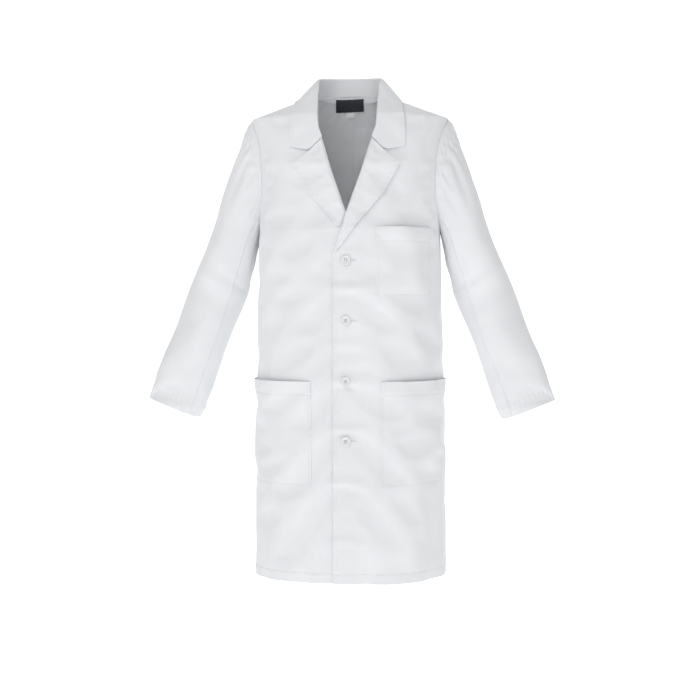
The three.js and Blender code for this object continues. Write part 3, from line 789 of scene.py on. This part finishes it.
for word, side, bottom in (("left", 1, 0.331), ("right", -1, 0.279)):
    x, z, lift = lapelGrid(side, bottom)
    points = body(side * angleAt(x, z), z, lift + clothThickness)
    obj = sheetMesh(word + "_lapel_cloth", points, np.stack([x, z], -1), flip=side < 0)
    finishSheet(obj, whiteCloth, lapelForm["thickness"])
    openSwing(obj)
    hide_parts(word + "_lapel")
    declare(bodyBase(angleAt(x, z), z, lift))

collar = {"lift": 0.0029, "shoulderLift": 0.0050, "fold": 0.4, "thickness": 0.0026, "bow": 0.0035}


def onFront(x, z):
    return bodyBase(angleAt(x, z), z, collar["lift"]).tolist()


neckHalf, neckDepth, neckRise = coat["neckHalf"], coat["neckDepth"], coat["neckRise"]
foldHigh, pointX = 0.058, 0.117
collarRoots = [
    (0, neckDepth, neckRise + 0.0007), (0.49 * neckHalf, 0.92 * neckDepth, neckRise - 0.0005),
    (0.84 * neckHalf, 0.56 * neckDepth, 0.55 * neckRise), (0.99 * neckHalf, 0.006, 0.0026),
    (0.063, -0.034, 0.0026), onFront(0.061, -0.022), onFront(0.059, -0.070), onFront(0.050, -0.098),
]
collarFolds = [
    (0, neckDepth + 0.003, foldHigh), (0.51 * neckHalf, 0.9 * neckDepth, foldHigh - 0.001),
    (0.83 * neckHalf, 0.53 * neckDepth, foldHigh - 0.006), (0.064, 0.004, 0.72 * foldHigh),
    (0.063, -0.036, 0.33 * foldHigh), onFront(0.066, -0.024), onFront(0.064, -0.078),
    onFront(0.076, -0.125),
]
collarOuter = [
    (0, neckDepth + 0.025, 0.008), (0.74 * neckHalf, neckDepth + 0.016, 0.006),
    (1.26 * neckHalf, 0.79 * neckDepth, -0.002), (0.9 * pointX, 0.006, -0.007),
    onFront(0.945 * pointX, -0.030), onFront(0.98 * pointX, -0.058),
    onFront(0.995 * pointX, -0.088), onFront(pointX, -0.117),
]


# A centripetal Catmull-Rom curve through the points.
def curveAt(points, t):
    points = [Vector(p) for p in points]
    place = min(t, 0.99999) * (len(points) - 1)
    i = int(place)
    w = place - i
    p1, p2 = points[i], points[i + 1]
    p0 = points[i - 1] if i > 0 else p1 * 2 - p2
    p3 = points[i + 2] if i + 2 < len(points) else p2 * 2 - p1
    d0, d1, d2 = [max((b - a).length ** 0.5, 1e-4) for a, b in ((p0, p1), (p1, p2), (p2, p3))]
    m1 = ((p1 - p0) / d0 - (p2 - p0) / (d0 + d1) + (p2 - p1) / d1) * d1
    m2 = ((p2 - p1) / d1 - (p3 - p1) / (d1 + d2) + (p3 - p2) / d2) * d1
    square, cube = 3 * (p2 - p1) - 2 * m1 - m2, 2 * (p1 - p2) + m1 + m2
    return np.array(p1 + m1 * w + square * w ** 2 + cube * w ** 3)


def collarGrid():
    stations, foldAt = np.linspace(-1, 1, 181), collar["fold"]
    across = spans([0, 0.28, 0.52, 1], [10, 15, 26])
    rows = []
    for station in stations:
        root, fold, edge = [curveAt(c, abs(station)) for c in (collarRoots, collarFolds, collarOuter)]
        row = []
        for u in across:
            near = np.clip((u - foldAt + 0.12) / 0.24, 0, 1)
            if 0 < near < 1:
                a = root + (fold - root) * ((foldAt - 0.12) / foldAt)
                b = fold + (edge - fold) * (0.12 / (1 - foldAt))
                point = a * (1 - near) ** 2 + fold * 2 * near * (1 - near) + b * near ** 2
            elif u < foldAt:
                point = root + (fold - root) * (u / foldAt)
            else:
                point = fold + (edge - fold) * ((u - foldAt) / (1 - foldAt))
            bow = math.sin(math.pi * max(0, (u - foldAt) / (1 - foldAt))) * (1 - abs(station)) ** 0.5
            row.append(point + np.array([0, 0, collar["bow"] * bow]))
        rows.append(row)
    points = np.array(rows)
    mirror = np.where(stations < 0, -1, 1)[:, None]
    x, y, z = points[..., 0], points[..., 1], points[..., 2]
    over = (z < 0) & (np.abs(x) < halfWidth(z))
    front = angleAt(x, z)
    angle = np.where(y < 0, front, np.pi - front)
    ground = body(angle * mirror, z)
    rise = body(angle * mirror, z, 0.001) - ground
    lift = collar["lift"] + (collar["shoulderLift"] - collar["lift"]) * smooth(z, -0.110, -0.062)
    reach = np.abs(ground[..., 1]) + lift / np.maximum(np.abs(rise[..., 1]) / 0.001, 0.25)
    y = np.where(over, np.sign(y) * np.maximum(np.abs(y), reach), y)
    return np.stack([x * mirror, y, z], -1), across, stations


collarPoints, collarAcross, collarStations = collarGrid()
collarUV = np.stack(np.meshgrid(collarAcross * 0.13, collarStations * 0.25), -1)
collarObject = sheetMesh("folded_collar_cloth", collarPoints, collarUV, flip=True)
finishSheet(collarObject, whiteCloth, collar["thickness"], 0)
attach(collarObject, "torso")
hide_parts("upper_collar", "under_collar")
declare(collarPoints)
print("collar and lapels ready")


# A lower pocket's outer edge lies at the side seam, just short of it.
lowPocket = {"inner": 0.070, "outer": None, "width": 0.180, "top": 0.590, "height": 0.213}
pockets = {
    "chest": {
        "word": "left", "side": 1, "inner": 0.060, "outer": 0.168, "width": 0.108,
        "top": 0.281, "height": 0.138,
    },
    "left_lower": {"word": "left", "side": 1, **lowPocket},
    "right_lower": {"word": "right", "side": -1, **lowPocket},
}
pocketForm = {"bulge": 0.0075, "hem": 0.026, "stitch": 0.004, "thickness": 0.0011, "step": 0.0045}
sideSeamAngle = np.pi / 2 - 0.003


def outerAngle(row, z):
    return np.full(np.shape(z), sideSeamAngle) if row["outer"] is None else angleAt(row["outer"], z)


# u runs from the inner edge to the outer one and v from the bottom to the mouth.
def pocketSurface(row, u, v, lift=0.0):
    z = -row["top"] - row["height"] * (1 - v)
    first = angleAt(row["inner"], z)
    last = outerAngle(row, z)
    angle = first + (last - first) * u
    width = row["width"]
    mouth = smooth(v, 0.55, 1.0)
    bulge = pocketForm["bulge"] * np.clip(np.sin(np.pi * u), 0, 1) ** 0.7
    puff = bulge * (0.35 + 0.65 * mouth) * np.clip(4 * v, 0, 1)
    puff = puff + 0.0012 * np.sin(np.pi * u) * np.sin(9 * u + 5 * v) * np.clip(5 * v, 0, 1)
    side = np.minimum(u, 1 - u) * width
    fromTop = (1 - v) * row["height"]
    edge = np.minimum(side, v * row["height"])
    hem, inset = pocketForm["hem"], pocketForm["stitch"]
    relief = groove(edge - inset, 0.0004, 0.0012) + groove(fromTop - hem, 0.0005, 0.0013)
    relief = relief + 0.0005 * (1 - smooth(fromTop, hem - 0.001, hem + 0.001))
    relief = relief + pucker(u * width + v * row["height"], edge - inset)
    return body(row["side"] * angle, z, 2 * clothThickness + 0.0007 + puff + relief + lift)


for name, row in pockets.items():
    wide, high = row["width"], row["height"]
    inset, step = pocketForm["stitch"], pocketForm["step"]
    us = spread(0, 1, step / wide, [inset / wide, 1 - inset / wide], 0.001 / wide)
    vs = spread(0, 1, step / high, [inset / high, 1 - pocketForm["hem"] / high], 0.001 / high)
    u, v = np.meshgrid(us, vs)
    points = pocketSurface(row, u, v)
    uv = np.stack([u * wide, v * high], -1)
    obj = sheetMesh(name + "_pocket_cloth", points, uv, flip=row["side"] < 0)
    finishSheet(obj, whiteCloth, pocketForm["thickness"])
    if name == "chest":
        openSwing(obj)
    else:
        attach(obj, row["word"] + "_front")
    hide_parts(name + "_pocket")
    flatHeight = -row["top"] - high * (1 - v)
    flatAngle = angleAt(row["inner"], flatHeight) * (1 - u) + outerAngle(row, flatHeight) * u
    declare(bodyBase(flatAngle, flatHeight))
print("pockets ready")


# One bank for the torso and one of each kind per side.
bankNames = ["torso"] + [side + end for end in ("_front", "_low", "_cuff") for side in ("left", "right")]
banks = {key: newBank() for key in bankNames}


# Stitches along a line of parameters on a surface, standing on its outer side.
def run(bank, surface, parameters):
    points = surface(*parameters, 0.0002)
    above = surface(*parameters, 0.0012)
    stitchRow(points, above - points, banks[bank])


def bodyLine(bank, side, x, z, lift=0.0):
    back = bank == "torso"
    front = angleAt(x, z)
    angle = side * (np.pi - front if back else front)
    relief = -0.00035 + clothThickness + lift
    if side < 0 and not back:
        relief = relief - sinkAt(x, z)
    run(bank, lambda a, h, up: body(a, h, relief + up), (angle, z))


stitchedHem = hemZ + seam["hem"]
for word, side in sides:
    x = np.linspace(-0.019, coat["hemHalf"] * 0.999, 260)
    bodyLine(word + "_front", side, x, np.full(260, stitchedHem))
    bodyLine("torso", side, np.linspace(0.003, coat["hemHalf"] * 0.999, 260), np.full(260, stitchedHem))
    z = np.linspace(hemZ + 0.004, -opening["rollEnd"] - 0.004, 420)
    if side > 0:
        bodyLine("left_front", 1, frontEdge(z) + seam["edge"], z, 0.0010)
    for offset in (0.005, 0.011):
        ridge = np.linspace(-0.0495, -0.004, 120)
        angle = side * (np.pi / 2 - offset / halfDepth(ridge, False))
        run(word + "_front", lambda a, h, up: body(a, h, clothThickness + up), (angle, ridge))
    z = np.linspace(-0.328 if side > 0 else -0.276, -0.153, 240)
    outer = lapelEdge(z) - lapelForm["stitch"]
    keep = outer > frontEdge(z) + 0.006
    sunk = sinkAt(outer, z) if side < 0 else np.zeros_like(z)
    curl = lapelForm["curl"] * smooth(outer - frontEdge(z), 0.004, 0.03) * 0.92
    level = (clothThickness + lapelForm["rest"] + curl + 0.0001 - sunk)[keep]
    line = (side * angleAt(outer, z)[keep], z[keep])
    run(word + "_front", lambda a, h, up: body(a, h, level + up), line)
    turn = np.linspace(0, 2 * np.pi, 240)
    cuffRow = np.full(240, 1 - cuffHem / sleeveLength)
    cuffLift = clothThickness - 0.0003
    run(word + "_cuff", lambda a, h, up: sleevePoint(a, h, cuffLift + up, side), (turn, cuffRow))

for name, row in pockets.items():
    wide, high = row["width"], row["height"]
    u0, v0, v1 = pocketForm["stitch"] / wide, pocketForm["stitch"] / high, 1 - pocketForm["hem"] / high
    bank = "left_front" if name == "chest" else row["word"] + "_low"
    ends = np.linspace(0, 1, 120)
    lines = [
        (np.full(120, u0), v0 + (1 - v0) * ends), (u0 + (1 - 2 * u0) * ends, np.full(120, v0)),
        (np.full(120, 1 - u0), v0 + (1 - v0) * ends), (0.004 + 0.992 * ends, np.full(120, v1)),
    ]
    for u, v in lines:
        run(bank, lambda a, b, up: pocketSurface(row, a, b, up), (u, v))

edgeIndex = int(np.argmin(np.abs(collarAcross - 0.93)))
edgePath = collarPoints[:, edgeIndex]
inward = collarPoints[:, edgeIndex + 1] - collarPoints[:, edgeIndex - 1]
outward = np.cross(inward, np.gradient(edgePath, axis=0))
outward /= np.linalg.norm(outward, axis=1)[:, None]
outward *= np.sign(outward[:, 2:3] * 0.3 + np.sign(edgePath[:, 1:2]) * outward[:, 1:2])
stitchRow(edgePath + outward * (collar["thickness"] / 2 + 0.0001), outward, banks["torso"])

for key, bank in banks.items():
    obj = bankObject(key + "_stitches", bank, threadMaterial)
    word = key.split("_")[0]
    if key == "torso":
        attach(obj, "torso")
    elif key.endswith("_front"):
        openSwing(obj)
    elif key.endswith("_low"):
        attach(obj, word + "_front")
    else:
        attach(obj, word + "_forearm")
print("stitches ready:", sum(len(bank["faces"]) for bank in banks.values()), "faces")


slit = {"start": -0.0023, "end": 0.0197, "pitch": 0.00055}
bore = {"radius": 0.0011, "out": 0.0021}  # each hole lies this far out along both axes


def holeThread(bank, xs, zs, lift):
    angle = angleAt(xs, zs)
    base = body(angle, zs, clothThickness + lift)
    up = body(angle, zs, clothThickness + lift + 0.001) - base
    stitchRow(base, up, bank, holeStitch)


# Close stitches round a slit, as a ring of small overlapping threads.
def buttonhole(number, z):
    bank = newBank()
    middle = (slit["start"] + slit["end"]) / 2
    half = (slit["end"] - slit["start"]) / 2
    count = int(2 * half / slit["pitch"])
    for k in range(count):
        x = middle - half + 2 * half * (k + 0.5) / count
        for side in (-1, 1):
            zs = z + side * np.array([0.0002, 0.0018])
            xs = np.full(2, x)
            holeThread(bank, xs, zs, 0.0001)
    for x in (middle - half - 0.0004, middle + half + 0.0004):
        for lean in (-0.0004, 0, 0.0004):
            zs = z + np.array([-0.0019, -0.0001])
            for higher in (0, 0.0019):
                xs = np.full(2, x + lean)
                holeThread(bank, xs, zs + higher, 0.0003)
    obj = bankObject(f"buttonhole_{number}_thread", bank, threadMaterial)
    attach(obj, "left_front")
    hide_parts(f"buttonhole_{number}")


# A turned disc with a raised rim and a dished middle, bored four times and sewn with a cross of
# thread.
def button(number, z):
    outer, thick = buttons["radius"], buttons["thickness"]
    bpy.ops.object.select_all(action="DESELECT")
    profile = [
        (0, 0), (0.62 * outer, 0), (0.90 * outer, 0.12 * thick), (outer, 0.42 * thick),
        (outer, 0.66 * thick),
        (0.95 * outer, 0.93 * thick), (0.86 * outer, thick), (0.77 * outer, 0.93 * thick),
        (0.68 * outer, 0.72 * thick), (0.5 * outer, 0.66 * thick), (0, 0.66 * thick),
    ]
    turned = bmesh.new()
    ring = [turned.verts.new((r, 0, h)) for r, h in profile]
    for a, b in zip(ring, ring[1:]):
        turned.edges.new((a, b))
    bmesh.ops.spin(turned, geom=turned.verts[:] + turned.edges[:], axis=(0, 0, 1), cent=(0, 0, 0),
                   angle=2 * math.pi, steps=64, use_merge=True)
    bmesh.ops.remove_doubles(turned, verts=turned.verts[:], dist=1e-6)
    bmesh.ops.recalc_face_normals(turned, faces=turned.faces[:])
    mesh = bpy.data.meshes.new(f"button_{number}_disc")
    turned.to_mesh(mesh)
    turned.free()
    disc = inScene(f"button_{number}_disc", mesh)
    for sx, sy in ((1, 1), (1, -1), (-1, 1), (-1, -1)):
        bpy.ops.object.select_all(action="DESELECT")
        bpy.ops.mesh.primitive_cylinder_add(vertices=20, radius=bore["radius"], depth=0.012,
                                            location=(sx * bore["out"], sy * bore["out"], 0))
        drill = bpy.context.active_object
        cut = disc.modifiers.new("Hole", "BOOLEAN")
        cut.object = drill
        cut.operation = "DIFFERENCE"
        cut.solver = "EXACT"
        selectOnly(disc)
        bpy.ops.object.modifier_apply(modifier=cut.name)
        bpy.data.objects.remove(drill)
    disc.data.materials.append(plastic)
    seat = body(0.0, z, clothThickness + buttonSeat)
    turnUp = Vector(body(0.0, z, 0.01) - body(0.0, z, 0.0)).to_track_quat("Z", "Y").to_matrix().to_4x4()
    turnUp.translation = Vector(seat)
    disc.data.transform(turnUp)
    selectOnly(disc)
    bpy.ops.object.shade_smooth_by_angle(angle=math.radians(35))
    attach(disc, f"button_{number}")
    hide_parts(f"button_{number}")
    bank = newBank()
    for ax, ay, bx, by in ((1, 1, -1, -1), (1, -1, -1, 1)):
        for lean in (-0.00035, 0.00035):
            steps = np.linspace(0, 1, 9)
            x = bore["out"] * (ax + (bx - ax) * steps) + lean
            y = bore["out"] * (ay + (by - ay) * steps) - lean * ax * ay
            ends = np.abs(steps * 2 - 1) > 0.99  # where the thread goes down the holes
            h = 0.66 * thick + 0.0001 + 0.0004 * np.sin(np.pi * steps) - 0.0014 * ends
            stitchRow(np.stack([x, y, h], -1), np.tile([0, 0, 1.0], (9, 1)), bank, sewing)
    sewn = bankObject(f"button_{number}_sewing", bank, threadMaterial)
    sewn.data.transform(turnUp)
    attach(sewn, f"button_{number}")
    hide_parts(f"button_thread_{number}")


for i in range(buttons["count"]):
    height = -(buttons["top"] + i * buttons["spacing"])
    buttonhole(i + 1, height)
    button(i + 1, height)
print("buttons ready")


labelMiddle = -0.005


def label(node, width, top, height, material, lift):
    centre = labelMiddle
    x = np.linspace(centre - width / 2, centre + width / 2, 40)[None, :]
    z = np.linspace(top - height, top, 20)[:, None]
    tilt = 0.04 * (x - centre)
    x, z = np.broadcast_arrays(x, z + tilt)
    wavy = 0.0004 * np.sin(55 * x) * np.sin(90 * z)
    points = body(np.pi - angleAt(x, z), z, lift + wavy)
    obj = sheetMesh(node + "_cloth", points, np.stack([x, z], -1), flip=True)
    finishSheet(obj, material, 0.0006, 0)
    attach(obj, "torso")
    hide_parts(node)
    declare(bodyBase(np.pi - angleAt(x, z), z))


label("neck_label", 0.062, neckRise - 0.006, 0.025, labelWeave, -0.0022)
label("size_tag", 0.020, neckRise - 0.032, 0.010, tagWeave, -0.0028)
print("labels ready")


def area(name, place, target, size, power):
    light = bpy.data.lights.new(name, "AREA")
    light.shape = "RECTANGLE"
    light.size, light.size_y = size
    light.energy = power
    obj = inScene(name, light)
    obj.location = place
    obj.rotation_euler = (Vector(target) - Vector(place)).to_track_quat("-Z", "Y").to_euler()


area("key_light", (-1.2, -1.9, 1.9), (0, 0, -0.25), (1.1, 1.1), 20)
area("fill_light", (2.2, -2.2, 0.2), (0, 0, -0.45), (2.2, 2.2), 5)
area("front_light", (0.1, -2.6, 0.25), (0, 0, -0.25), (0.9, 0.7), 10)
area("top_light", (0, -0.3, 2.2), (0, 0, -0.4), (2.4, 1.6), 5)

bpy.ops.mesh.primitive_plane_add(size=14, location=(0, 2, -1.35))
floor = bpy.context.active_object
floor.name = "studio_floor"
bpy.ops.object.select_all(action="DESELECT")
bpy.ops.mesh.primitive_plane_add(size=14, location=(0, 4.2, 3), rotation=(math.radians(90), 0, 0))
wall = bpy.context.active_object
wall.name = "studio_wall"
paper = plainMaterial("studio_paper", (0.98, 0.98, 0.98), (0.96, 0.96, 0.96), 3, 0.95, 0.02)
glow = paper.node_tree.nodes["Principled BSDF"].inputs
glow["Emission Color"].default_value = (1, 1, 1, 1)
glow["Emission Strength"].default_value = 0.6
for obj in (floor, wall):
    obj.data.materials.append(paper)

world = bpy.data.worlds.new("studio_world")
world.use_nodes = True
sky = world.node_tree
background = sky.nodes["Background"].inputs
background["Color"].default_value = (0.97, 0.98, 1.0, 1)
ray = sky.nodes.new("ShaderNodeLightPath")
strength = mathNode(sky.nodes, "MULTIPLY_ADD")  # brighter to the camera than to the cloth
strength.inputs[1].default_value = 0.68
strength.inputs[2].default_value = 0.32
sky.links.new(ray.outputs["Is Camera Ray"], strength.inputs[0])
sky.links.new(strength.outputs[0], background["Strength"])
bpy.context.scene.world = world
bpy.context.scene.view_settings.view_transform = "Standard"

viewing = {"distance": 2.3, "yaw": 3.6, "height": -0.4275, "pitch": 2.65, "lens": 55.5}
cameraData = bpy.data.cameras.new("camera")
cameraData.lens = viewing["lens"]
cameraData.sensor_width = 36
camera = inScene("camera", cameraData)
yaw = math.radians(viewing["yaw"])
away = viewing["distance"]
camera.location = (away * math.sin(yaw), -away * math.cos(yaw), viewing["height"])
camera.rotation_euler = (math.radians(90 - viewing["pitch"]), 0, yaw)
bpy.context.scene.camera = camera
